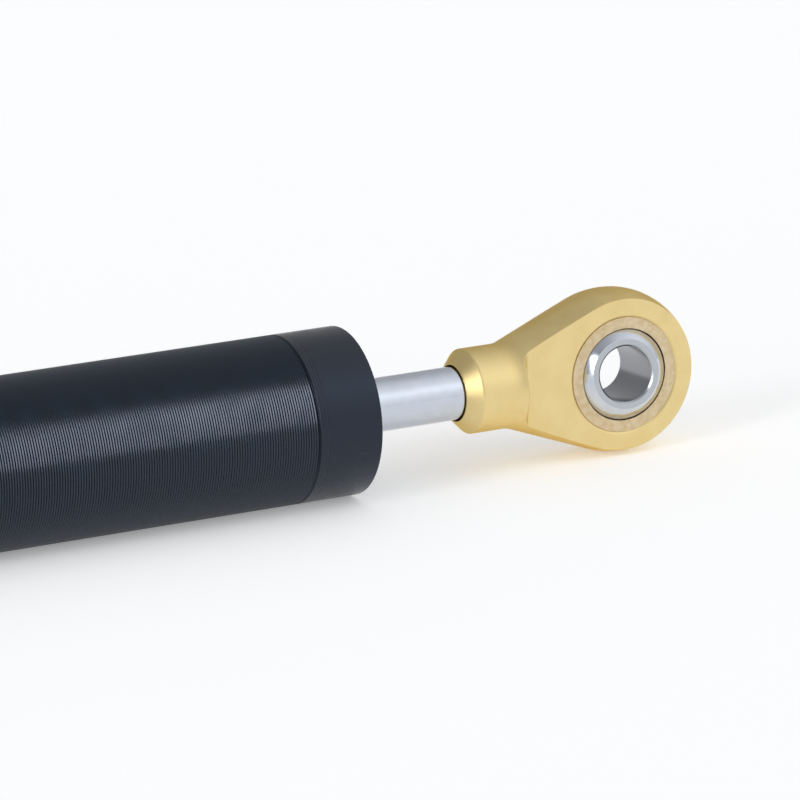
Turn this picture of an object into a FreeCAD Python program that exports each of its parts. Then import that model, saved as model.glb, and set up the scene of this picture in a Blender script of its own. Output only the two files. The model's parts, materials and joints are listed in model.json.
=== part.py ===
import FreeCAD, Part
import math
import os

# Linear steering damper: a grooved barrel with a through rod, a spherical
# bearing in the eye at the front and a click adjuster at the rear.
# Millimetres. The X axis runs along the rod towards the eye, Z is up, and the
# bore of the bearing lies along Y. The origin is the middle of the barrel.

# Strokes, counted from the position in which the damper is stored
RETRACT_TRAVEL = 15.0
EXTEND_TRAVEL = 53.0
STOP_GAP = 0.4

# Barrel
BARREL_OD = 25.0
BARREL_WALL = 3.0
BARREL_EDGE = 0.3
CAP_THREAD_STEP = 1.0
CAP_THREAD_DEPTH = 7.0

# End caps, one at each end
CAP_LENGTH = 10.2
CAP_NOSE_LENGTH = 4.2
CAP_THREAD_END_GAP = 0.2
CAP_END_ROUND = 0.2
CAP_ROD_HOLE = 8.5
SPANNER_HOLE = 2.6
SPANNER_HOLE_DEPTH = 3.0
SPANNER_HOLE_FROM_EDGE = 2.9
CAP_RING_GROOVE_WIDTH = 2.0
CAP_RING_SECTION = 1.5
CAP_RING_SQUEEZE_GAP = 0.03

# Guides and seals inside the caps
BUSH_LENGTH = 10.0
BUSH_WALL = 1.0
BUSH_END_GAP = 0.2
SEAL_WIDTH = 3.0
SEAL_DEPTH = 2.3
SEAL_SIDE_GAP = 0.1
SEAL_LIP_NOTCH = 1.2
WIPER_WIDTH = 4.0
WIPER_DEPTH = 2.5
WIPER_HEEL = 2.4
LAND_WIDTH = 1.7

# Rod
ROD_DIAMETER = 8.0
ROD_EDGE = 0.4
STUD_DIAMETER = 6.0
FRONT_STUD_LENGTH = 11.0
REAR_STUD_LENGTH = 5.0
FRONT_EXPOSED = 18.15
OIL_BORE = 2.2
CROSS_HOLE = 2.0
CROSS_HOLE_OFFSET = 2.5

# Piston and its fastening
PISTON_GAP = 0.2
PISTON_LENGTH = 14.2
PISTON_EDGE = 0.6
RING_WIDTH = 4.0
RING_WALL = 1.27
EXPANDER_SECTION = 1.2
WASHER_STEP = 1.8
WASHER_THICKNESS = 1.0
CLIP_THICKNESS = 1.0
CLIP_REACH = 1.6
CLIP_GROOVE_DEPTH = 0.45
CLIP_MOUTH = 3.0

# Rod eye
HEAD_RADIUS = 12.35
HEAD_BLEND_RADIUS = 14.5
CONE_HALF_ANGLE = 20.5
NECK_DIAMETER = 12.76
NECK_REACH = 26.8
NECK_CHAMFER = 2.0
NECK_CHAMFER_ROUND = 0.3
NECK_FLARE_ROUND = 5.0
EYE_THICKNESS = 8.8
FLAT_END = 15.9
FLAT_END_ROUND = 1.6
EYE_BORE_EDGE = 0.35
EYE_BORE_EDGE_DEPTH = 0.2
ROD_SOCKET_DEPTH = 2.2
ROD_SOCKET_GAP = 0.25
STUD_TIP_GAP = 1.0

# Spherical bearing
RACE_DIAMETER = 17.5
RACE_SINK = 0.1
RACE_MOUTH = 14.1
BALL_DIAMETER = 16.2
BALL_WIDTH = 12.2
BALL_BORE = 8.4
BALL_BORE_EDGE = 0.25
BALL_REST_TILT = 7.9
BALL_TILT_DIRECTION = 51.4

# Click adjuster at the rear end of the rod
KNOB_STOP_GAP = 2.0
COLLAR_DIAMETER = 14.0
COLLAR_LENGTH = 7.5
COLLAR_EDGE = 0.6
COLLAR_SOCKET_DEPTH = 2.0
BOSS_DIAMETER = 8.0
BOSS_LENGTH = 8.0
KNOB_DIAMETER = 19.0
KNOB_LENGTH = 12.0
KNOB_EDGE = 0.8
KNOB_FACE_GAP = 0.25
KNOB_WEB = 5.6
KNOB_RECESS = 13.2
KNOB_CAP_THICKNESS = 2.6
KNOB_FLUTE = 3.2
KNOB_FLUTE_DEPTH = 0.7
KNOB_FLUTE_COUNT = 16
KNOB_CLIP_THICKNESS = 0.8
KNOB_CLIP_SIDE_GAP = 0.1
KNOB_CLIP_REACH = 1.5
DETENT_BALL_DIAMETER = 2.0
DETENT_PITCH_DIAMETER = 10.5
DETENT_POCKET_DEPTH = 4.2
DETENT_STAND = 0.7
DETENT_TRACK_GAP = 0.15
DETENT_CLICKS = 12
CLICK_HOLE = 1.2
CLICK_HOLE_DEPTH = 0.3
SPRING_WIRE = 0.3
SPRING_TURNS = 4

# Needle valve in the hollow rod
NEEDLE_DIAMETER = 3.2
NEEDLE_TAPER_LENGTH = 5.0
NEEDLE_TIP_DIAMETER = 1.0
NEEDLE_TRAVEL = 1.75
NEEDLE_CLOSED_GAP = 0.2
NEEDLE_THREAD_DIAMETER = 4.0
NEEDLE_THREAD_SHY = 0.95
NEEDLE_FLAT = 1.2
NEEDLE_RING_SECTION = 0.64
NEEDLE_RING_FROM_END = 6.0

# Fits, all as radial gaps
RUNNING_GAP = 0.03
SEAL_GAP = 0.05
THREAD_GAP = 0.05
SLIP_GAP = 0.02
NEEDLE_GAP = 0.15

# Radii that several pieces share
BARREL_R = BARREL_OD / 2
BORE_R = BARREL_R - BARREL_WALL
CAP_THREAD_R = BORE_R + CAP_THREAD_STEP
PISTON_R = BORE_R - PISTON_GAP
ROD_R = ROD_DIAMETER / 2
STUD_R = STUD_DIAMETER / 2
NECK_R = NECK_DIAMETER / 2
BALL_R = BALL_DIAMETER / 2
RACE_R = RACE_DIAMETER / 2
NEEDLE_R = NEEDLE_DIAMETER / 2
NEEDLE_BORE_R = NEEDLE_R + NEEDLE_GAP
BOSS_R = BOSS_DIAMETER / 2
BUSH_R = ROD_R + RUNNING_GAP + BUSH_WALL
CLIP_GROOVE_R = ROD_R - CLIP_GROOVE_DEPTH

# Places along the rod
HEAD_INSERT = CAP_THREAD_DEPTH + CAP_NOSE_LENGTH
PISTON_STACK = PISTON_LENGTH + 2 * (WASHER_THICKNESS + CLIP_THICKNESS)
STROKE = RETRACT_TRAVEL + EXTEND_TRAVEL
BARREL_HALF = (STROKE + 2 * STOP_GAP + PISTON_STACK) / 2 + HEAD_INSERT
CAP_FACE = BARREL_HALF + CAP_LENGTH
CAP_INNER = BARREL_HALF - HEAD_INSERT
PISTON_X = -CAP_INNER + STOP_GAP + RETRACT_TRAVEL + PISTON_STACK / 2
EYE_X = CAP_FACE + FRONT_EXPOSED + NECK_REACH
ROD_FRONT = EYE_X - NECK_REACH + ROD_SOCKET_DEPTH
COLLAR_FRONT = -(CAP_FACE + EXTEND_TRAVEL + KNOB_STOP_GAP)
COLLAR_REAR = COLLAR_FRONT - COLLAR_LENGTH
ROD_REAR = COLLAR_FRONT - COLLAR_SOCKET_DEPTH
KNOB_FRONT = COLLAR_REAR - KNOB_FACE_GAP
KNOB_WEB_REAR = KNOB_FRONT - KNOB_WEB
KNOB_REAR = KNOB_FRONT - KNOB_LENGTH
KNOB_CLIP_FRONT = KNOB_WEB_REAR - KNOB_CLIP_SIDE_GAP
BOSS_REAR = COLLAR_REAR - BOSS_LENGTH
SEAT_X = PISTON_X
DETENT_X = COLLAR_REAR + DETENT_BALL_DIAMETER / 2 - DETENT_STAND

ORIGIN = FreeCAD.Vector(0, 0, 0)
ALONG_X = FreeCAD.Vector(1, 0, 0)
ALONG_Y = FreeCAD.Vector(0, 1, 0)
ALONG_Z = FreeCAD.Vector(0, 0, 1)
FAR = 4 * BARREL_OD


def point(along, radius, axis=ALONG_X):
    """Corner of a turned profile, given by its place along the axis and its radius."""
    across = ALONG_X if axis == ALONG_Y else ALONG_Z
    return axis * along + across * radius


def turned(corners, axis=ALONG_X):
    """Solid turned about an axis from straight-sided corners."""
    points = [point(along, radius, axis) for along, radius in corners]
    face = Part.Face(Part.makePolygon(points + points[:1]))
    return face.revolve(ORIGIN, axis, 360)


def turned_edges(edges, axis=ALONG_X):
    """Solid turned about an axis from the edges of a closed profile."""
    face = Part.Face(Part.Wire(Part.__sortEdges__(edges)))
    return face.revolve(ORIGIN, axis, 360)


def line(start, end):
    return Part.LineSegment(start, end).toShape()


def round_corner(before, corner, after, radius):
    """Start, middle and end of the arc that rounds a corner."""
    to_before = (before - corner).normalize()
    to_after = (after - corner).normalize()
    half = to_before.getAngle(to_after) / 2
    reach = radius / math.tan(half)
    bisector = (to_before + to_after).normalize()
    middle = corner + bisector * (radius / math.sin(half) - radius)
    return corner + to_before * reach, middle, corner + to_after * reach


def tube(inner, outer, start, end):
    """Plain ring about the X axis."""
    return turned([(start, inner), (start, outer), (end, outer), (end, inner)])


def soft_ring(middle_r, section, along):
    """Sealing ring about the X axis, with eight sides in place of its round section."""
    corner_r = section / 2
    angles = [math.radians(45 * i + 22.5) for i in range(8)]
    return turned([(along + corner_r * math.cos(a), middle_r + corner_r * math.sin(a)) for a in angles])


def at_rear(shape):
    """The same piece turned round to the other end of the barrel."""
    return shape.rotated(ORIGIN, ALONG_Z, 180)


def barrel_tube():
    thread_end = BARREL_HALF - CAP_THREAD_DEPTH
    edge_r = BARREL_R - BARREL_EDGE
    edge_x = BARREL_HALF - BARREL_EDGE
    front = [(thread_end, BORE_R), (thread_end, CAP_THREAD_R), (BARREL_HALF, CAP_THREAD_R),
             (BARREL_HALF, edge_r), (edge_x, BARREL_R)]
    rear = [(-along, radius) for along, radius in reversed(front)]
    return turned(front + rear)


def cap_places():
    """Places of the pockets in the front cap, from its outer face inwards."""
    wiper_end = CAP_FACE - WIPER_WIDTH
    seal_front = wiper_end - LAND_WIDTH
    seal_back = seal_front - SEAL_WIDTH - 2 * SEAL_SIDE_GAP
    bush_front = CAP_INNER + BUSH_LENGTH + BUSH_END_GAP
    return wiper_end, seal_front, seal_back, bush_front


def cap_ring_x():
    return CAP_INNER + CAP_NOSE_LENGTH / 2


def end_cap():
    wiper_end, seal_front, seal_back, bush_front = cap_places()
    thread_r = CAP_THREAD_R - THREAD_GAP
    thread_inner = CAP_INNER + CAP_NOSE_LENGTH + CAP_THREAD_END_GAP
    nose_r = BORE_R - SLIP_GAP
    hole_r = CAP_ROD_HOLE / 2
    seal_r = ROD_R + SEAL_DEPTH
    wiper_r = ROD_R + WIPER_DEPTH
    body = turned([
        (CAP_INNER, BUSH_R), (CAP_INNER, nose_r), (thread_inner, nose_r),
        (thread_inner, thread_r), (BARREL_HALF, thread_r), (BARREL_HALF, BARREL_R - BARREL_EDGE),
        (BARREL_HALF + BARREL_EDGE, BARREL_R), (CAP_FACE, BARREL_R), (CAP_FACE, wiper_r),
        (wiper_end, wiper_r), (wiper_end, hole_r), (seal_front, hole_r), (seal_front, seal_r),
        (seal_back, seal_r), (seal_back, hole_r), (bush_front, hole_r), (bush_front, BUSH_R),
    ])
    rim = [edge for edge in body.Edges
           if abs(edge.BoundBox.XMin - CAP_FACE) < 1e-6 and edge.BoundBox.ZMax > BARREL_R - 1e-6]
    body = body.makeFillet(CAP_END_ROUND, rim)
    groove_bottom = BORE_R - CAP_RING_SECTION - CAP_RING_SQUEEZE_GAP
    groove = tube(groove_bottom, BARREL_R, cap_ring_x() - CAP_RING_GROOVE_WIDTH / 2,
                  cap_ring_x() + CAP_RING_GROOVE_WIDTH / 2)
    body = body.cut(groove)
    spanner_r = BARREL_R - SPANNER_HOLE_FROM_EDGE
    for side in (-1, 1):
        place = FreeCAD.Vector(CAP_FACE - SPANNER_HOLE_DEPTH, side * spanner_r, 0)
        body = body.cut(Part.makeCylinder(SPANNER_HOLE / 2, FAR, place, ALONG_X))
    return body


def cap_o_ring():
    middle_r = BORE_R - CAP_RING_SQUEEZE_GAP - CAP_RING_SECTION / 2
    return soft_ring(middle_r, CAP_RING_SECTION, cap_ring_x())


def rod_bush():
    return tube(ROD_R + RUNNING_GAP, BUSH_R, CAP_INNER, CAP_INNER + BUSH_LENGTH)


def rod_seal():
    """Cup seal: its notch between two lips opens towards the oil."""
    seal_front = cap_places()[1] - SEAL_SIDE_GAP
    seal_back = seal_front - SEAL_WIDTH
    inner = ROD_R + SEAL_GAP
    outer = ROD_R + SEAL_DEPTH
    middle = (inner + outer) / 2
    return turned([
        (seal_front, inner), (seal_front, outer), (seal_back, outer),
        (seal_back + SEAL_LIP_NOTCH, middle), (seal_back, inner),
    ])


def rod_wiper():
    """Wiper with a heel in its pocket and a lip that leans out along the rod."""
    wiper_end = cap_places()[0]
    inner = ROD_R + SEAL_GAP
    outer = ROD_R + WIPER_DEPTH
    hole_r = CAP_ROD_HOLE / 2
    heel = wiper_end + WIPER_HEEL
    return turned([
        (wiper_end, hole_r), (wiper_end, outer), (heel, outer), (heel, (hole_r + outer) / 2),
        (CAP_FACE, hole_r), (CAP_FACE, inner), (heel, inner),
    ])


def piston_rod():
    tip_r = STUD_R - ROD_EDGE
    body = turned([
        (ROD_REAR - REAR_STUD_LENGTH, 0), (ROD_REAR - REAR_STUD_LENGTH, tip_r),
        (ROD_REAR - REAR_STUD_LENGTH + ROD_EDGE, STUD_R), (ROD_REAR, STUD_R), (ROD_REAR, ROD_R - ROD_EDGE),
        (ROD_REAR + ROD_EDGE, ROD_R), (ROD_FRONT - ROD_EDGE, ROD_R), (ROD_FRONT, ROD_R - ROD_EDGE),
        (ROD_FRONT, STUD_R), (ROD_FRONT + FRONT_STUD_LENGTH - ROD_EDGE, STUD_R),
        (ROD_FRONT + FRONT_STUD_LENGTH, tip_r), (ROD_FRONT + FRONT_STUD_LENGTH, 0),
    ])
    for side in (-1, 1):
        start, end = clip_span(side)
        body = body.cut(tube(CLIP_GROOVE_R, 2 * ROD_R, start, end))
    stack_end = PISTON_STACK / 2 + CROSS_HOLE_OFFSET
    front_hole = PISTON_X + stack_end
    rear_hole = PISTON_X - stack_end
    oil_bore = turned([(SEAT_X, 0), (SEAT_X, OIL_BORE / 2), (front_hole, OIL_BORE / 2), (front_hole, 0)])
    needle_bore = turned([(ROD_REAR - FAR, 0), (ROD_REAR - FAR, NEEDLE_BORE_R),
                          (SEAT_X, NEEDLE_BORE_R), (SEAT_X, 0)])
    body = body.cut(oil_bore).cut(needle_bore)
    for hole_x in (front_hole, rear_hole):
        place = FreeCAD.Vector(hole_x, 0, -BARREL_R)
        body = body.cut(Part.makeCylinder(CROSS_HOLE / 2, BARREL_OD, place, ALONG_Z))
    return body


def clip_span(side):
    """Start and end along X of the retaining clip in front of or behind the piston."""
    inner = PISTON_X + side * (PISTON_LENGTH / 2 + WASHER_THICKNESS)
    outer = inner + side * CLIP_THICKNESS
    return min(inner, outer), max(inner, outer)


def piston():
    groove_bottom = BORE_R - RUNNING_GAP - RING_WALL - EXPANDER_SECTION - 2 * SLIP_GAP
    half = PISTON_LENGTH / 2
    groove_half = RING_WIDTH / 2 + SEAL_GAP
    inner = ROD_R + SLIP_GAP
    corners = [
        (-half, inner), (-half, PISTON_R - PISTON_EDGE), (-half + PISTON_EDGE, PISTON_R),
        (-groove_half, PISTON_R), (-groove_half, groove_bottom), (groove_half, groove_bottom),
        (groove_half, PISTON_R), (half - PISTON_EDGE, PISTON_R), (half, PISTON_R - PISTON_EDGE),
        (half, inner),
    ]
    return turned([(PISTON_X + along, r) for along, r in corners])


def piston_ring():
    outer = BORE_R - RUNNING_GAP
    return tube(outer - RING_WALL, outer, PISTON_X - RING_WIDTH / 2, PISTON_X + RING_WIDTH / 2)


def ring_expander():
    middle_r = BORE_R - RUNNING_GAP - RING_WALL - SLIP_GAP - EXPANDER_SECTION / 2
    return soft_ring(middle_r, EXPANDER_SECTION, PISTON_X)


def piston_washer(side):
    inner = PISTON_X + side * PISTON_LENGTH / 2
    outer = inner + side * WASHER_THICKNESS
    return tube(ROD_R + SLIP_GAP, PISTON_R - WASHER_STEP, min(inner, outer), max(inner, outer))


def open_clip(inner, outer, start, end):
    """Retaining clip: a flat ring with an open mouth at the bottom."""
    ring = tube(inner, outer, start, end)
    mouth = Part.makeBox(end - start, CLIP_MOUTH, outer, FreeCAD.Vector(start, -CLIP_MOUTH / 2, -outer))
    return ring.cut(mouth)


def piston_clip(side):
    start, end = clip_span(side)
    return open_clip(CLIP_GROOVE_R, ROD_R + CLIP_REACH, start, end)


def eye_blank():
    """Turned body of the eye about its own middle: chamfered neck, flare, blend and ball-shaped head."""
    angle = math.radians(CONE_HALF_ANGLE)
    blend_r = HEAD_RADIUS - HEAD_BLEND_RADIUS
    tangent_x = -HEAD_BLEND_RADIUS * math.sin(angle)
    tangent_r = blend_r + HEAD_BLEND_RADIUS * math.cos(angle)
    tangent = point(tangent_x, tangent_r)
    blend_middle = point(-HEAD_BLEND_RADIUS * math.sin(angle / 2),
                         blend_r + HEAD_BLEND_RADIUS * math.cos(angle / 2))
    top = point(0, HEAD_RADIUS)
    flare = point(tangent_x - (tangent_r - NECK_R) / math.tan(angle), NECK_R)
    neck_end = point(-NECK_REACH, 0)
    face_edge = point(-NECK_REACH, NECK_R - NECK_CHAMFER)
    shoulder = point(-NECK_REACH + NECK_CHAMFER, NECK_R)
    nose = point(HEAD_RADIUS, 0)
    head_middle = point(HEAD_RADIUS * math.sqrt(0.5), HEAD_RADIUS * math.sqrt(0.5))
    first = round_corner(face_edge, shoulder, flare, NECK_CHAMFER_ROUND)
    second = round_corner(shoulder, flare, tangent, NECK_FLARE_ROUND)
    edges = [
        line(neck_end, face_edge), line(face_edge, first[0]), Part.Arc(*first).toShape(),
        line(first[2], second[0]), Part.Arc(*second).toShape(), line(second[2], tangent),
        Part.Arc(tangent, blend_middle, top).toShape(), Part.Arc(top, head_middle, nose).toShape(),
        line(nose, neck_end),
    ]
    return turned_edges(edges)


def flat_cutter():
    """Volume milled away in front of one flat, with the round that the cutter leaves at the neck."""
    face_y = -EYE_THICKNESS / 2
    wall_x = -FLAT_END - FLAT_END_ROUND
    slant = FLAT_END_ROUND * math.sqrt(0.5)
    foot = FreeCAD.Vector(-FLAT_END, face_y, -FAR)
    middle = FreeCAD.Vector(-FLAT_END - slant, face_y - FLAT_END_ROUND + slant, -FAR)
    top = FreeCAD.Vector(wall_x, face_y - FLAT_END_ROUND, -FAR)
    outer = FreeCAD.Vector(wall_x, -FAR, -FAR)
    far_outer = FreeCAD.Vector(FAR, -FAR, -FAR)
    far_face = FreeCAD.Vector(FAR, face_y, -FAR)
    edges = [line(far_face, foot), Part.Arc(foot, middle, top).toShape(), line(top, outer),
             line(outer, far_outer), line(far_outer, far_face)]
    return Part.Face(Part.Wire(edges)).extrude(ALONG_Z * (2 * FAR))


def eye_bore_cutter():
    """Bore for the race with an opened edge at each flat."""
    face_y = EYE_THICKNESS / 2
    wide = RACE_R + EYE_BORE_EDGE
    return turned([
        (-FAR, 0), (-FAR, wide), (-face_y, wide), (-face_y + EYE_BORE_EDGE_DEPTH, RACE_R),
        (face_y - EYE_BORE_EDGE_DEPTH, RACE_R), (face_y, wide), (FAR, wide), (FAR, 0),
    ], ALONG_Y)


def rod_socket_cutter():
    """Socket for the end of the rod and the tapped hole behind it."""
    start = -NECK_REACH
    floor = start + ROD_SOCKET_DEPTH
    hole_end = floor + FRONT_STUD_LENGTH + STUD_TIP_GAP
    hole_r = STUD_R + THREAD_GAP
    socket_r = ROD_R + ROD_SOCKET_GAP
    return turned([
        (start - FAR, 0), (start - FAR, socket_r), (floor, socket_r), (floor, hole_r),
        (hole_end, hole_r), (hole_end + hole_r / 2, 0),
    ])


def rod_eye():
    body = eye_blank()
    front = flat_cutter()
    body = body.cut(front).cut(front.rotated(ORIGIN, ALONG_X, 180))
    body = body.cut(eye_bore_cutter()).cut(rod_socket_cutter())
    return body.translated(FreeCAD.Vector(EYE_X, 0, 0))


def bearing_race():
    """Outer race, sprung round the ball, with a short straight mouth at each side."""
    half = EYE_THICKNESS / 2 - RACE_SINK
    mouth_r = RACE_MOUTH / 2
    seat_r = BALL_R + RUNNING_GAP
    seat_half = math.sqrt(seat_r ** 2 - mouth_r ** 2)
    corners = [(-seat_half, mouth_r), (-half, mouth_r), (-half, RACE_R), (half, RACE_R),
               (half, mouth_r), (seat_half, mouth_r)]
    points = [point(along, radius, ALONG_Y) for along, radius in corners]
    edges = [line(start, end) for start, end in zip(points, points[1:])]
    edges.append(Part.Arc(points[-1], point(0, seat_r, ALONG_Y), points[0]).toShape())
    return turned_edges(edges, ALONG_Y).translated(FreeCAD.Vector(EYE_X, 0, 0))


def bearing_ball():
    """Ball with a bore and two flats, which lies a little tilted in its race while no bolt holds it."""
    half = BALL_WIDTH / 2
    bore_r = BALL_BORE / 2
    edge_r = bore_r + BALL_BORE_EDGE
    flat_r = math.sqrt(BALL_R ** 2 - half ** 2)
    corners = [(half, flat_r), (half, edge_r), (half - BALL_BORE_EDGE, bore_r),
               (-half + BALL_BORE_EDGE, bore_r), (-half, edge_r), (-half, flat_r)]
    points = [point(along, radius, ALONG_Y) for along, radius in corners]
    edges = [line(start, end) for start, end in zip(points, points[1:])]
    edges.append(Part.Arc(points[-1], point(0, BALL_R, ALONG_Y), points[0]).toShape())
    direction = math.radians(BALL_TILT_DIRECTION)
    tilt_axis = FreeCAD.Vector(math.cos(direction), 0, math.sin(direction))
    ball = turned_edges(edges, ALONG_Y).rotated(ORIGIN, tilt_axis, -BALL_REST_TILT)
    return ball.translated(FreeCAD.Vector(EYE_X, 0, 0))


def needle_key(width):
    """Block that leaves one flat along the needle or its guide, at a distance from the axis."""
    place = FreeCAD.Vector(COLLAR_REAR - FAR, -FAR, width)
    return Part.makeBox(2 * FAR, 2 * FAR, FAR, place)


def adjuster_housing():
    collar_r = COLLAR_DIAMETER / 2
    socket_r = ROD_R + SLIP_GAP
    thread_r = STUD_R + THREAD_GAP
    clip_rear = KNOB_CLIP_FRONT - KNOB_CLIP_THICKNESS
    stud_end = ROD_REAR - REAR_STUD_LENGTH
    body = turned([
        (stud_end, 0), (stud_end, thread_r), (ROD_REAR, thread_r), (ROD_REAR, socket_r),
        (COLLAR_FRONT, socket_r), (COLLAR_FRONT, collar_r - COLLAR_EDGE),
        (COLLAR_FRONT - COLLAR_EDGE, collar_r), (COLLAR_REAR, collar_r), (COLLAR_REAR, BOSS_R),
        (KNOB_CLIP_FRONT, BOSS_R), (KNOB_CLIP_FRONT, BOSS_R - CLIP_GROOVE_DEPTH),
        (clip_rear, BOSS_R - CLIP_GROOVE_DEPTH), (clip_rear, BOSS_R), (BOSS_REAR, BOSS_R), (BOSS_REAR, 0),
    ])
    guide = Part.makeCylinder(NEEDLE_R + SEAL_GAP, FAR, FreeCAD.Vector(BOSS_REAR - FAR / 2, 0, 0), ALONG_X)
    guide = guide.cut(needle_key(NEEDLE_FLAT + SEAL_GAP))
    pocket_r = DETENT_BALL_DIAMETER / 2 + SEAL_GAP
    pocket_start = FreeCAD.Vector(COLLAR_REAR, 0, DETENT_PITCH_DIAMETER / 2)
    pocket = Part.makeCylinder(pocket_r, DETENT_POCKET_DEPTH, pocket_start, ALONG_X)
    return body.cut(guide).cut(pocket)


def adjuster_needle():
    """Needle: tapered tip at the seat, long stem, flat that stops it turning, threaded rear end."""
    taper_share = (NEEDLE_R - OIL_BORE / 2) / (NEEDLE_R - NEEDLE_TIP_DIAMETER / 2)
    taper_start = SEAT_X - NEEDLE_TRAVEL / 2 - NEEDLE_CLOSED_GAP - taper_share * NEEDLE_TAPER_LENGTH
    ring_half = NEEDLE_RING_SECTION / 2 + SEAL_GAP
    ring_bottom = NEEDLE_BORE_R - NEEDLE_RING_SECTION - SLIP_GAP
    thread_front = BOSS_REAR - NEEDLE_TRAVEL / 2 - NEEDLE_CLOSED_GAP
    thread_rear = KNOB_REAR + NEEDLE_THREAD_SHY
    thread_r = NEEDLE_THREAD_DIAMETER / 2
    stem = turned([
        (thread_front, 0), (thread_front, NEEDLE_R), (needle_ring_x() - ring_half, NEEDLE_R),
        (needle_ring_x() - ring_half, ring_bottom), (needle_ring_x() + ring_half, ring_bottom),
        (needle_ring_x() + ring_half, NEEDLE_R), (taper_start, NEEDLE_R),
        (taper_start + NEEDLE_TAPER_LENGTH, NEEDLE_TIP_DIAMETER / 2), (taper_start + NEEDLE_TAPER_LENGTH, 0),
    ])
    keyed_end = ROD_REAR - REAR_STUD_LENGTH + NEEDLE_TRAVEL
    keyed = Part.makeBox(FAR, 2 * FAR, FAR, FreeCAD.Vector(keyed_end - FAR, -FAR, NEEDLE_FLAT))
    thread_start = FreeCAD.Vector(thread_rear, 0, 0)
    thread = Part.makeCylinder(thread_r, thread_front - thread_rear, thread_start, ALONG_X)
    return stem.cut(keyed).fuse(thread).removeSplitter()


def needle_ring_x():
    return ROD_REAR + NEEDLE_RING_FROM_END


def needle_o_ring():
    middle_r = NEEDLE_BORE_R - SLIP_GAP / 2 - NEEDLE_RING_SECTION / 2
    return soft_ring(middle_r, NEEDLE_RING_SECTION, needle_ring_x())


def adjuster_knob():
    """Fluted knob with a bore for the boss, a rear recess and a clicked track on its front face."""
    knob_r = KNOB_DIAMETER / 2
    recess_r = KNOB_RECESS / 2
    bore_r = BOSS_R + RUNNING_GAP
    body = turned([
        (KNOB_FRONT, bore_r), (KNOB_FRONT, knob_r - KNOB_EDGE), (KNOB_FRONT - KNOB_EDGE, knob_r),
        (KNOB_REAR + KNOB_EDGE, knob_r), (KNOB_REAR, knob_r - KNOB_EDGE), (KNOB_REAR, recess_r),
        (KNOB_WEB_REAR, recess_r), (KNOB_WEB_REAR, bore_r),
    ])
    flute_r = KNOB_FLUTE / 2
    flute_at = knob_r + flute_r - KNOB_FLUTE_DEPTH
    flute_start = FreeCAD.Vector(KNOB_REAR - FAR / 2, 0, flute_at)
    flute = Part.makeCylinder(flute_r, FAR, flute_start, ALONG_X)
    track_floor = DETENT_X - DETENT_BALL_DIAMETER / 2 - DETENT_TRACK_GAP
    track_middle = DETENT_PITCH_DIAMETER / 2
    track_half = DETENT_BALL_DIAMETER / 2 + SEAL_GAP
    track = tube(track_middle - track_half, track_middle + track_half, track_floor, COLLAR_REAR)
    click_start = FreeCAD.Vector(track_floor - CLICK_HOLE_DEPTH, 0, track_middle)
    click = Part.makeCylinder(CLICK_HOLE / 2, COLLAR_LENGTH, click_start, ALONG_X)
    return body.cut(around(flute, KNOB_FLUTE_COUNT)).cut(track).cut(around(click, DETENT_CLICKS))


def around(shape, count):
    """Copies of a shape at even steps about the X axis."""
    return [shape.rotated(ORIGIN, ALONG_X, 360 * i / count) for i in range(count)]


def knob_cap():
    """Disc in the rear of the knob, tapped for the needle."""
    front = KNOB_REAR + KNOB_CAP_THICKNESS
    thread_r = NEEDLE_THREAD_DIAMETER / 2 + THREAD_GAP
    return tube(thread_r, KNOB_RECESS / 2, KNOB_REAR, front)


def knob_clip():
    inner = BOSS_R - CLIP_GROOVE_DEPTH
    return open_clip(inner, BOSS_R + KNOB_CLIP_REACH, KNOB_CLIP_FRONT - KNOB_CLIP_THICKNESS, KNOB_CLIP_FRONT)


def detent_ball():
    return Part.makeSphere(DETENT_BALL_DIAMETER / 2, FreeCAD.Vector(DETENT_X, 0, DETENT_PITCH_DIAMETER / 2))


def detent_spring():
    """Small coil between the bottom of its pocket and the ball, with a square wire."""
    coil_r = DETENT_BALL_DIAMETER / 2 - SPRING_WIRE / 2
    seat_drop = math.sqrt((DETENT_BALL_DIAMETER / 2) ** 2 - coil_r ** 2)
    start = DETENT_X + seat_drop + SPRING_WIRE
    end = COLLAR_REAR + DETENT_POCKET_DEPTH - SPRING_WIRE / 2 - SEAL_GAP
    height = end - start
    path = Part.Wire(Part.makeHelix(height / SPRING_TURNS, height, coil_r))
    half = SPRING_WIRE / 2 * math.sqrt(0.5)
    corners = [FreeCAD.Vector(coil_r + half * x, 0, half * z)
               for x, z in ((-1, -1), (1, -1), (1, 1), (-1, 1), (-1, -1))]
    section = Part.makePolygon(corners)
    coil = path.makePipeShell([section], True, True)
    coil = coil.rotated(ORIGIN, ALONG_Y, 90)
    return coil.translated(FreeCAD.Vector(start, 0, DETENT_PITCH_DIAMETER / 2))


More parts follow.
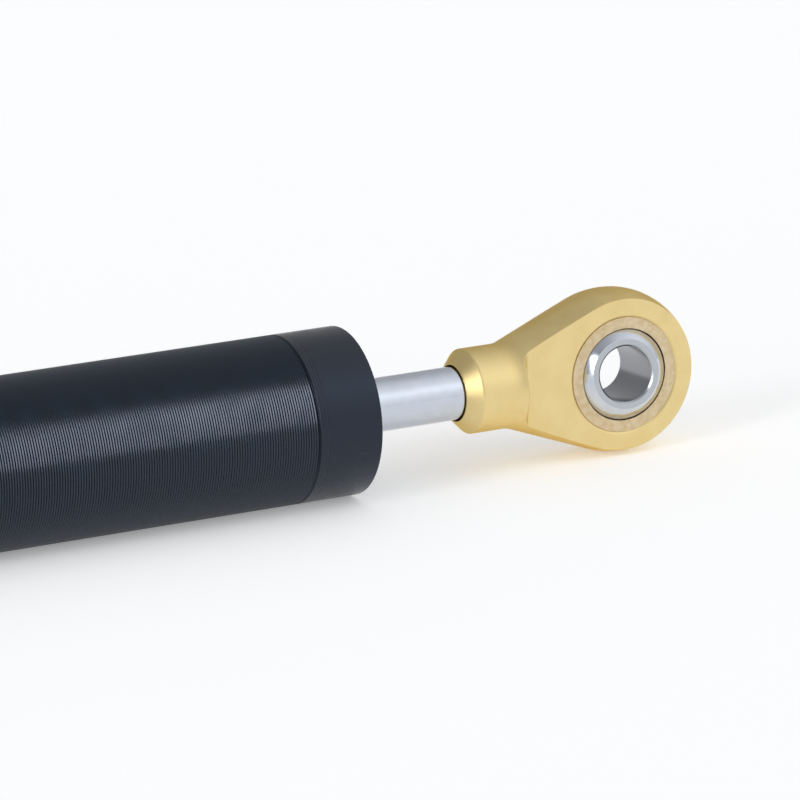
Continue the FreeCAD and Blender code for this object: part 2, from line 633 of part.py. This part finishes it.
PIECES = {
    "barrel_tube": barrel_tube(),
    "front_end_cap": end_cap(),
    "rear_end_cap": at_rear(end_cap()),
    "front_cap_o_ring": cap_o_ring(),
    "rear_cap_o_ring": at_rear(cap_o_ring()),
    "front_rod_bush": rod_bush(),
    "rear_rod_bush": at_rear(rod_bush()),
    "front_rod_seal": rod_seal(),
    "rear_rod_seal": at_rear(rod_seal()),
    "front_rod_wiper": rod_wiper(),
    "rear_rod_wiper": at_rear(rod_wiper()),
    "piston_rod": piston_rod(),
    "piston": piston(),
    "piston_ring": piston_ring(),
    "ring_expander": ring_expander(),
    "front_piston_washer": piston_washer(1),
    "rear_piston_washer": piston_washer(-1),
    "front_piston_clip": piston_clip(1),
    "rear_piston_clip": piston_clip(-1),
    "rod_eye": rod_eye(),
    "bearing_race": bearing_race(),
    "bearing_ball": bearing_ball(),
    "adjuster_housing": adjuster_housing(),
    "adjuster_needle": adjuster_needle(),
    "needle_o_ring": needle_o_ring(),
    "adjuster_knob": adjuster_knob(),
    "knob_cap": knob_cap(),
    "knob_clip": knob_clip(),
    "detent_ball": detent_ball(),
    "detent_spring": detent_spring(),
}

os.makedirs("parts", exist_ok=True)
for name, shape in PIECES.items():
    print(name, "valid", shape.isValid(), "solids", len(shape.Solids), "volume", round(shape.Volume, 2))
    shape.exportStep("parts/" + name + ".step")
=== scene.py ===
# %% [markdown]
# # A linear steering damper
# The damper is a grooved black barrel with a chromed rod through it. A gold eye with a spherical bearing
# sits on the front end of the rod, and a click adjuster on the rear end. Its solids come from a CAD model
# as a fixed frame, so every size and place is there already. This lesson gives them their finishes, and
# adds the fine work that is too small for the solids.

# %% Load the frame
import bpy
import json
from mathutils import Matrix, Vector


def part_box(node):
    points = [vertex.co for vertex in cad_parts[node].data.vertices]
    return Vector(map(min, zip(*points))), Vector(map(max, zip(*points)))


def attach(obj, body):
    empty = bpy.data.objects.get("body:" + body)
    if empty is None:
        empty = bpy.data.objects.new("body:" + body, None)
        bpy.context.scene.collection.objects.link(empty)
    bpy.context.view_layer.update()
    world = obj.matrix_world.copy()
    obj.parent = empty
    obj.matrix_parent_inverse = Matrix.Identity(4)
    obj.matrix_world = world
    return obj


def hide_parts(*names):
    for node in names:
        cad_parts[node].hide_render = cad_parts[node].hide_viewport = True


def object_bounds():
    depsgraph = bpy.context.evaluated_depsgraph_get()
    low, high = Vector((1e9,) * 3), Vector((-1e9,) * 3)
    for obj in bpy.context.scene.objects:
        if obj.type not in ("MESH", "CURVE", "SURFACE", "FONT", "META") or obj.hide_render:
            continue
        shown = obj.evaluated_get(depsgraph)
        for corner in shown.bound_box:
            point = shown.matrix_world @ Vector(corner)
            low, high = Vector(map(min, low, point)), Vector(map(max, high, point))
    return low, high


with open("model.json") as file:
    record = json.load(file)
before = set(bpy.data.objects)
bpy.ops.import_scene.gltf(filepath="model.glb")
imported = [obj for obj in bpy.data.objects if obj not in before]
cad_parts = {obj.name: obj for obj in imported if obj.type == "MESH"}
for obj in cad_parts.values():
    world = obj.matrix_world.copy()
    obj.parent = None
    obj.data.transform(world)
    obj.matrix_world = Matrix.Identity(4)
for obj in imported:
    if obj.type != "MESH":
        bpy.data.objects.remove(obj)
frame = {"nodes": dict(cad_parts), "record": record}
cad_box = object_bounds()
print("CAD nodes:", len(frame["nodes"]), "box in mm:", [round(1000 * (b - a), 2) for a, b in zip(*cad_box)])

# %% [markdown]
# ## Camera
# The photograph was taken with a long lens from the left of the barrel and a little above it. The camera
# could be moved by hand until the edges agree. Here its angles were worked out beforehand from the edges of
# the barrel, the rod and the bearing, so it is enough to turn three angles into the camera's own axes.

# %% Camera
import json
import math

import bpy
from mathutils import Matrix, Vector

MM = 0.001
VIEW_YAW = math.radians(27.499)
VIEW_DOWN = math.radians(14.447)
VIEW_ROLL = math.radians(1.463)
AIM = Vector((74.269, 0.0, 0.2)) * MM
DISTANCE = 891.96 * MM
LENS_MM = 272.79
SENSOR_MM = 36.0
NEAREST = 10.0 * MM
FARTHEST = 50000.0 * MM

forward = Vector((
    math.sin(VIEW_YAW) * math.cos(VIEW_DOWN),
    math.cos(VIEW_YAW) * math.cos(VIEW_DOWN),
    -math.sin(VIEW_DOWN),
))
level_right = Vector((math.cos(VIEW_YAW), -math.sin(VIEW_YAW), 0.0))
level_down = forward.cross(level_right)
right = level_right * math.cos(VIEW_ROLL) + level_down * math.sin(VIEW_ROLL)
down = level_down * math.cos(VIEW_ROLL) - level_right * math.sin(VIEW_ROLL)

camera = bpy.data.objects.new("camera", bpy.data.cameras.new("camera"))
camera.data.lens = LENS_MM
camera.data.sensor_width = SENSOR_MM
camera.data.clip_start = NEAREST
camera.data.clip_end = FARTHEST
bpy.context.scene.collection.objects.link(camera)
axes = Matrix((right, -down, -forward)).transposed()
camera.matrix_world = Matrix.Translation(AIM - forward * DISTANCE) @ axes.to_4x4()
bpy.context.scene.camera = camera
bpy.context.scene.view_settings.view_transform = "Standard"
print("camera at", [round(c, 3) for c in camera.matrix_world.translation])

# %% [markdown]
# ## Two helpers for materials
# Colours are easiest to read off as sRGB hex values, but shaders work in linear light, so one function
# turns the one into the other. A second one adds a node to a tree: it sets the node's settings, and for
# each input it either sets a value or links a socket.

# %% Colour and node helpers
def linear(hex_colour):
    """Linear RGBA of an sRGB hex colour."""
    channels = [int(hex_colour[i:i + 2], 16) / 255 for i in (1, 3, 5)]
    return [c / 12.92 if c <= 0.04045 else ((c + 0.055) / 1.055) ** 2.4 for c in channels] + [1.0]


def add_node(tree, kind, inputs, **settings):
    """One node with its settings; an input that is given a socket is linked, any other is set."""
    node = tree.nodes.new(kind)
    for name, value in settings.items():
        setattr(node, name, value)
    for name, value in inputs.items():
        if isinstance(value, bpy.types.NodeSocket):
            tree.links.new(value, node.inputs[name])
        else:
            node.inputs[name].default_value = value
    return node


print("white is", linear("#ffffff"))

# %% [markdown]
# ## Studio
# The damper lies on a white table in a studio. Lamps alone would leave hard dark reflections in the chrome,
# so all of the light comes from the world: a soft dome with a broad bright side in front on the right, a
# smaller one in it, and weak ones above and at the back. A bright side is a cosine raised to a power: the
# higher the power, the smaller the side. A row of very small, strong ones stands in for a tall strip light
# far away on the left, brightest at its top. It draws the bright band across the barrel's grooves, the
# highlight on the chamfer of the gold neck and the streak on the ball.

# %% Bright sides of the dome
DOME_LEVEL = 0.42
# Each bright side has its direction, the light that it adds and the power of its cosine.
BROAD_SIDES = [
    ((0.65, -0.65, 0.4), 0.7, 2.0),
    ((0.45, -0.62, 0.64), 0.3, 25.0),
    ((0.75, 0.5, 0.43), 0.12, 2.0),
    ((0.5, 0.0, 0.85), 0.13, 7.0),
]
STRIP_LOW = Vector((-0.88, -0.47, -0.06))
STRIP_HIGH = Vector((-0.8, -0.29, 0.53))
STRIP_LOW_LIGHT = 4.5
STRIP_HIGH_LIGHT = 7.5
STRIP_POWER = 250.0
STRIP_STEPS = 6

strip = []
for step in range(STRIP_STEPS):
    share = step / (STRIP_STEPS - 1)
    light = STRIP_LOW_LIGHT + (STRIP_HIGH_LIGHT - STRIP_LOW_LIGHT) * share
    strip.append((STRIP_LOW.lerp(STRIP_HIGH, share), light, STRIP_POWER))
print("broad sides:", len(BROAD_SIDES), "steps of the strip:", len(strip))

# %% Dome of light
world = bpy.data.worlds.new("studio")
bpy.context.scene.world = world
world.use_nodes = True
tree = world.node_tree
direction = add_node(tree, "ShaderNodeTexCoord", {}).outputs["Generated"]
level = DOME_LEVEL
for middle, light, power in BROAD_SIDES + strip:
    towards = {0: direction, 1: Vector(middle).normalized()}
    lean = add_node(tree, "ShaderNodeVectorMath", towards, operation="DOT_PRODUCT").outputs["Value"]
    facing = add_node(tree, "ShaderNodeMath", {0: lean, 1: 0.0}, operation="MAXIMUM").outputs[0]
    lobe = add_node(tree, "ShaderNodeMath", {0: facing, 1: power}, operation="POWER").outputs[0]
    total = {0: lobe, 1: light, 2: level}
    level = add_node(tree, "ShaderNodeMath", total, operation="MULTIPLY_ADD").outputs[0]
tree.links.new(level, tree.nodes["Background"].inputs["Strength"])
tree.nodes["Background"].inputs["Color"].default_value = linear("#fcfdff")
print("nodes in the dome:", len(tree.nodes))

# %% [markdown]
# ## Table
# The white table is a matt sheet. It is as white as it can be, so that most of its light comes from the
# dome and the shadow stays deep. Lit by the dome alone it would still come out pale grey, so the rays that
# the camera and the shiny metal look along also get a little constant light from it. Apart from what the
# metal mirrors, that light doesn't reach the damper. The table lies where the barrel touches it.

# %% Table
TABLE_HALF = 40000.0 * MM
TABLE_GLOW = 0.27

table_z = cad_box[0].z
signs = ((-1, -1), (1, -1), (1, 1), (-1, 1))
corners = [(x * TABLE_HALF, y * TABLE_HALF, table_z) for x, y in signs]
table_mesh = bpy.data.meshes.new("table")
table_mesh.from_pydata(corners, [], [(0, 1, 2, 3)])
table = bpy.data.objects.new("table", table_mesh)
bpy.context.scene.collection.objects.link(table)

paper = bpy.data.materials.new("white_table")
paper.use_nodes = True
tree = paper.node_tree
rays = add_node(tree, "ShaderNodeLightPath", {}).outputs
seen = rays["Is Camera Ray"]
for kind in ("Is Glossy Ray", "Is Transmission Ray"):
    seen = add_node(tree, "ShaderNodeMath", {0: seen, 1: rays[kind]}, operation="MAXIMUM").outputs[0]
glow = add_node(tree, "ShaderNodeMath", {0: seen, 1: TABLE_GLOW}, operation="MULTIPLY").outputs[0]
sheet = tree.nodes["Principled BSDF"]
sheet.inputs["Base Color"].default_value = linear("#fcfcfc")
sheet.inputs["Specular IOR Level"].default_value = 0.0
sheet.inputs["Emission Color"].default_value = linear("#ffffff")
tree.links.new(glow, sheet.inputs["Emission Strength"])
table_mesh.materials.append(paper)
print("table at z =", round(1000 * table_z, 2), "mm")

# %% [markdown]
# ## Finishes
# No real surface is quite even: its colour and its shine change a little from patch to patch. All the
# finishes below start from that, with values that are typical of the real material, and with patches whose
# size is given in millimetres. Each one then adds what only it has.

# %% Uneven finish
NOISE_LOW = 0.3
NOISE_HIGH = 0.7


def uneven_finish(name, metallic, dark, light, roughness, patch_mm):
    """Material with patches between two colours and between two roughnesses."""
    material = bpy.data.materials.new(name)
    material.use_nodes = True
    tree = material.node_tree
    shader = tree.nodes["Principled BSDF"]
    shader.inputs["Metallic"].default_value = metallic
    place = add_node(tree, "ShaderNodeTexCoord", {}).outputs["Object"]
    patches = {"Vector": place, "Scale": 1 / (patch_mm * MM), "Detail": 3.0}
    noise = add_node(tree, "ShaderNodeTexNoise", patches).outputs["Fac"]
    spread = {"Value": noise, "From Min": NOISE_LOW, "From Max": NOISE_HIGH}
    share = add_node(tree, "ShaderNodeMapRange", spread).outputs["Result"]
    # A colour mix has its share at input 0, its colours at 6 and 7, and the result at output 2.
    shades = {0: share, 6: linear(dark), 7: linear(light)}
    colour = add_node(tree, "ShaderNodeMix", shades, data_type="RGBA").outputs[2]
    polish = {"Value": share, "To Min": roughness[0], "To Max": roughness[1]}
    shine = add_node(tree, "ShaderNodeMapRange", polish).outputs["Result"]
    tree.links.new(colour, shader.inputs["Base Color"])
    tree.links.new(shine, shader.inputs["Roughness"])
    return material


print("patches of 3 mm take a noise scale of", round(1 / (3.0 * MM)))

# %% [markdown]
# ### Black anodised aluminium
# The barrel and the caps are aluminium with a black dyed oxide layer. The layer hides the metal, so it
# looks like a black glaze and not like a mirror, with the IOR of sealed oxide, about 1.6. Its own colour is
# almost black, and the dye lends its reflections some blue. The barrel is bright-turned, so its flanks
# shine. The caps are satin, and a few faint turning lines are left beside the joint with the barrel.

# %% Bright-turned black
TURNED_IOR = 1.63
TURNED_TINT = linear("#dfeaff")


def black_anodised_turned():
    material = uneven_finish("black_anodised_turned", 0.0, "#06141e", "#081a27", (0.18, 0.25), 3.0)
    shader = material.node_tree.nodes["Principled BSDF"]
    shader.inputs["IOR"].default_value = TURNED_IOR
    shader.inputs["Specular Tint"].default_value = TURNED_TINT
    return material


black_barrel = black_anodised_turned()
print("made", black_barrel.name)

# %% Satin black
SATIN_IOR = 1.58
SATIN_TINT = linear("#cddfff")
SATIN_GRAIN = 0.25 * MM
SATIN_GRAIN_DEPTH = 0.004 * MM
CAP_LINE_PITCH = 0.45 * MM
CAP_LINE_DEPTH = 0.012 * MM
CAP_LINES_WIDTH = 1.7 * MM


def black_anodised_satin():
    """Satin black; its grain is drawn at 0.25 mm, since the real one is too fine to show."""
    material = uneven_finish("black_anodised_satin", 0.0, "#020406", "#04080c", (0.24, 0.3), 3.0)
    tree = material.node_tree
    shader = tree.nodes["Principled BSDF"]
    shader.inputs["IOR"].default_value = SATIN_IOR
    shader.inputs["Specular Tint"].default_value = SATIN_TINT
    place = add_node(tree, "ShaderNodeTexCoord", {}).outputs["Object"]
    grain = add_node(tree, "ShaderNodeTexNoise", {"Vector": place, "Scale": 1 / SATIN_GRAIN}).outputs["Fac"]
    bumps = {"Height": grain, "Distance": SATIN_GRAIN_DEPTH}
    fine = add_node(tree, "ShaderNodeBump", bumps).outputs["Normal"]
    along = add_node(tree, "ShaderNodeSeparateXYZ", {"Vector": place}).outputs["X"]
    along = add_node(tree, "ShaderNodeMath", {0: along}, operation="ABSOLUTE").outputs[0]
    per_line = 2 * math.pi / CAP_LINE_PITCH
    turns = add_node(tree, "ShaderNodeMath", {0: along, 1: per_line}, operation="MULTIPLY").outputs[0]
    wave = add_node(tree, "ShaderNodeMath", {0: turns}, operation="SINE").outputs[0]
    lines_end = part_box("barrel_tube")[1].x + CAP_LINES_WIDTH
    beside = add_node(tree, "ShaderNodeMath", {0: along, 1: lines_end}, operation="LESS_THAN").outputs[0]
    lines = add_node(tree, "ShaderNodeMath", {0: wave, 1: beside}, operation="MULTIPLY").outputs[0]
    relief = add_node(tree, "ShaderNodeBump", {"Height": lines, "Distance": CAP_LINE_DEPTH, "Normal": fine})
    tree.links.new(relief.outputs["Normal"], shader.inputs["Normal"])
    return material


black_cap = black_anodised_satin()
print("made", black_cap.name, "with lines over", round(CAP_LINES_WIDTH / MM, 2), "mm")

# %% [markdown]
# ### Hard chrome
# The rod is ground, hard chromed and polished, so it mirrors the studio. Chrome is a slightly bluish metal.
# Faint grinding lines run round the rod. They are far too fine to be modelled, so a noise that is stretched
# across the axis draws them in the shading. A picture of lines would do it too, but would repeat itself.

# %% Hard chrome
GRINDING_PITCH = 0.3 * MM
GRINDING_DEPTH = 0.001 * MM
GRINDING_STRETCH = (1.0, 0.06, 0.06)


def hard_chrome():
    """Polished chrome; its lines are drawn at 0.3 mm, since the real ones are too fine to show."""
    material = uneven_finish("hard_chrome_ground", 1.0, "#c6ccd6", "#ccd2dc", (0.1, 0.16), 2.0)
    tree = material.node_tree
    place = add_node(tree, "ShaderNodeTexCoord", {}).outputs["Object"]
    stretch = {"Vector": place, "Scale": GRINDING_STRETCH}
    stretched = add_node(tree, "ShaderNodeMapping", stretch).outputs["Vector"]
    grinding = {"Vector": stretched, "Scale": 1 / GRINDING_PITCH, "Detail": 3.0}
    lines = add_node(tree, "ShaderNodeTexNoise", grinding).outputs["Fac"]
    relief = add_node(tree, "ShaderNodeBump", {"Height": lines, "Distance": GRINDING_DEPTH})
    tree.links.new(relief.outputs["Normal"], tree.nodes["Principled BSDF"].inputs["Normal"])
    return material


chrome = hard_chrome()
print("made", chrome.name)

# %% [markdown]
# ### Gold anodised aluminium
# The eye is turned, milled and lightly blasted before its gold dye, so the metal shines through with a
# satin bloom. Seen at a slant, bare metal turns pale, but here the light runs a longer way through the dye,
# so the gold stays deep. The tint of the shader does this for a metal. The blasting breaks all sharp edges
# a little. A bevel modifier could show that, but the CAD mesh stays as it is, so the shading gets the bevel.

# %% Gold anodised aluminium
GOLD_TINT = linear("#f2dcaa")
GOLD_GRAIN = 0.3 * MM
GOLD_GRAIN_DEPTH = 0.003 * MM
GOLD_EDGE = 0.2 * MM


def gold_anodised():
    """Satin gold; its grain is drawn at 0.3 mm, since the real one is too fine to show."""
    material = uneven_finish("gold_anodised_satin", 1.0, "#e6ce91", "#ecd79d", (0.38, 0.45), 4.0)
    tree = material.node_tree
    shader = tree.nodes["Principled BSDF"]
    shader.inputs["Specular Tint"].default_value = GOLD_TINT
    place = add_node(tree, "ShaderNodeTexCoord", {}).outputs["Object"]
    grain = add_node(tree, "ShaderNodeTexNoise", {"Vector": place, "Scale": 1 / GOLD_GRAIN}).outputs["Fac"]
    edges = add_node(tree, "ShaderNodeBevel", {"Radius": GOLD_EDGE}, samples=8).outputs["Normal"]
    bumps = {"Height": grain, "Distance": GOLD_GRAIN_DEPTH, "Normal": edges}
    relief = add_node(tree, "ShaderNodeBump", bumps)
    tree.links.new(relief.outputs["Normal"], shader.inputs["Normal"])
    return material


gold = gold_anodised()
print("made", gold.name)

# %% [markdown]
# ### Bearing bronze
# The race is bare bronze. Its face is mottled and a little pitted, so it shines dully, in pale brown
# patches under a millimetre wide. Pits could be cut into the mesh, but at this size a fine bump gives the
# eye the same dull shine, and the CAD mesh stays as it is.

# %% Bearing bronze
PIT_SIZE = 0.4 * MM
PIT_DEPTH = 0.006 * MM


def mottled_bronze():
    material = uneven_finish("bearing_bronze", 1.0, "#ccb58c", "#e0cead", (0.34, 0.48), 0.8)
    tree = material.node_tree
    place = add_node(tree, "ShaderNodeTexCoord", {}).outputs["Object"]
    pitting = {"Vector": place, "Scale": 1 / PIT_SIZE, "Detail": 4.0}
    pits = add_node(tree, "ShaderNodeTexNoise", pitting).outputs["Fac"]
    relief = add_node(tree, "ShaderNodeBump", {"Height": pits, "Distance": PIT_DEPTH})
    tree.links.new(relief.outputs["Normal"], tree.nodes["Principled BSDF"].inputs["Normal"])
    return material


bronze = mottled_bronze()
print("made", bronze.name)

# %% [markdown]
# ### Bearing steel
# The ball is hardened steel: it is polished where it turns in the race, ground on its two flats, and only
# honed in its bore, which looks grey. Its faces could be picked by hand for three materials. But all three
# finishes lie at different distances from the middle of the ball, so that distance chooses the finish.

# %% Bearing steel
FLAT_FROM = 7.25 * MM
POLISH_FROM = 8.06 * MM
HONED_GREY = linear("#8d8f93")
GROUND_GREY = linear("#b9bec3")
GROUND_ROUGHNESS = 0.25


def ball_steel():
    material = uneven_finish("bearing_steel", 1.0, "#c6ccd6", "#d0d6e0", (0.12, 0.2), 2.0)
    tree = material.node_tree
    shader = tree.nodes["Principled BSDF"]
    low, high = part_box("bearing_ball")
    place = add_node(tree, "ShaderNodeTexCoord", {}).outputs["Object"]
    centre = {0: place, 1: (low + high) / 2}
    away = add_node(tree, "ShaderNodeVectorMath", centre, operation="DISTANCE").outputs["Value"]
    flat = add_node(tree, "ShaderNodeMath", {0: away, 1: FLAT_FROM}, operation="GREATER_THAN").outputs[0]
    beyond = {0: away, 1: POLISH_FROM}
    polished = add_node(tree, "ShaderNodeMath", beyond, operation="GREATER_THAN").outputs[0]
    colour = shader.inputs["Base Color"].links[0].from_socket
    shine = shader.inputs["Roughness"].links[0].from_socket
    greys = {0: flat, 6: HONED_GREY, 7: GROUND_GREY}
    ground = add_node(tree, "ShaderNodeMix", greys, data_type="RGBA").outputs[2]
    shades = {0: polished, 6: ground, 7: colour}
    colour = add_node(tree, "ShaderNodeMix", shades, data_type="RGBA").outputs[2]
    # A mix of plain values has them at inputs 2 and 3.
    shine = add_node(tree, "ShaderNodeMix", {0: polished, 2: GROUND_ROUGHNESS, 3: shine}).outputs[0]
    tree.links.new(colour, shader.inputs["Base Color"])
    tree.links.new(shine, shader.inputs["Roughness"])
    return material


ball = ball_steel()
print("made", ball.name)

# %% [markdown]
# ### Pieces inside and at the rear
# The small steel pieces are ground, which gives a soft grey shine. The housing and the piston are plain
# machined aluminium, brighter and a little milky. The bushes are bronze with a warm brown glint. The seals
# are nitrile rubber, a dull black, and the piston ring is a filled plastic, a matt brown. They need nothing
# beyond an uneven finish, so a table is enough. Every node then gets the finish of its slot.

# %% Inner finishes
SLOT_FINISH = {
    "black_barrel": black_barrel,
    "black_cap": black_cap,
    "chrome_rod": chrome,
    "gold_eye": gold,
    "bronze": bronze,
    "steel": uneven_finish("ground_steel", 1.0, "#b9bdc3", "#c8ccd2", (0.22, 0.32), 1.0),
    "plain_aluminium": uneven_finish("machined_aluminium", 1.0, "#d2d3d6", "#dedfe2", (0.27, 0.37), 1.0),
    "bush": uneven_finish("bush_bronze", 1.0, "#b98f55", "#c79e63", (0.35, 0.45), 1.0),
    "rubber": uneven_finish("nitrile_rubber", 0.0, "#131313", "#1c1c1c", (0.55, 0.65), 1.5),
    "ring_plastic": uneven_finish("filled_slide_plastic", 0.0, "#5b3f2c", "#6a4b35", (0.45, 0.55), 0.6),
}
for subpart in frame["record"]["subparts"]:
    node = frame["nodes"][subpart["node"]]
    node.data.materials.clear()
    node.data.materials.append(SLOT_FINISH[subpart["material_slot"]])
frame["nodes"]["bearing_ball"].data.materials[0] = ball

# %% [markdown]
# ## Grooved barrel
# The barrel is turned with fine grooves from end to end, so that its clamp can't slip. A bump texture would
# leave a smooth outline and lose the dark bottoms of the grooves, so the grooves are real: a profile of
# narrow flat crests and V-shaped grooves with flanks at about 45 degrees is carried round the rod's axis,
# as on a lathe.

# %% Profile of the barrel
GROOVE_PITCH = 0.411 * MM
GROOVE_CREST = 0.05 * MM
GROOVE_DEPTH = 0.17 * MM
BARREL_EDGE = 0.3 * MM
BARREL_BORE_RADIUS = 9.5 * MM


def barrel_profile():
    """Grooves along the outside, then back through the bore, as places along the axis and radii."""
    low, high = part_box("barrel_tube")
    crest = high.z
    bottom = crest - GROOVE_DEPTH
    start = low.x + BARREL_EDGE
    length = high.x - low.x - 2 * BARREL_EDGE
    count = round(length / GROOVE_PITCH)
    pitch = length / count
    half = (pitch - GROOVE_CREST) / 2
    outside = [(start, crest)]
    for groove in range(count):
        middle = start + pitch * (groove + 0.5)
        outside += [(middle - half, crest), (middle, bottom), (middle + half, crest)]
    outside.append((start + length, crest))
    front = [(high.x, crest - BARREL_EDGE), (high.x, BARREL_BORE_RADIUS)]
    rear = [(low.x, BARREL_BORE_RADIUS), (low.x, crest - BARREL_EDGE)]
    print("grooves:", count, "points along the outside:", len(outside))
    return outside + front + rear


profile = barrel_profile()

# %% Lathe
TURN_STEPS = 96


def lathe(name, profile):
    """Closed skin turned about the X axis from a closed profile of places along the axis and radii."""
    points = []
    for along, radius in profile:
        for step in range(TURN_STEPS):
            angle = 2 * math.pi * step / TURN_STEPS
            points.append((along, radius * math.cos(angle), radius * math.sin(angle)))
    faces = []
    for ring in range(len(profile)):
        first = ring * TURN_STEPS
        second = (ring + 1) % len(profile) * TURN_STEPS
        for step in range(TURN_STEPS):
            turn = (step + 1) % TURN_STEPS
            faces.append((first + step, first + turn, second + turn, second + step))
    mesh = bpy.data.meshes.new(name)
    mesh.from_pydata(points, [], faces)
    mesh.shade_smooth()
    piece = bpy.data.objects.new(name, mesh)
    bpy.context.scene.collection.objects.link(piece)
    return piece


barrel = lathe("grooved_barrel", profile)
print("faces on the barrel:", len(barrel.data.polygons))

# %% Barrel in place of its solid
SHARP_FROM = math.radians(30)

barrel.data.materials.append(black_barrel)
barrel.data.set_sharp_from_angle(angle=SHARP_FROM)
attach(barrel, "barrel")
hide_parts("barrel_tube")
print("barrel_tube is replaced by", barrel.name)
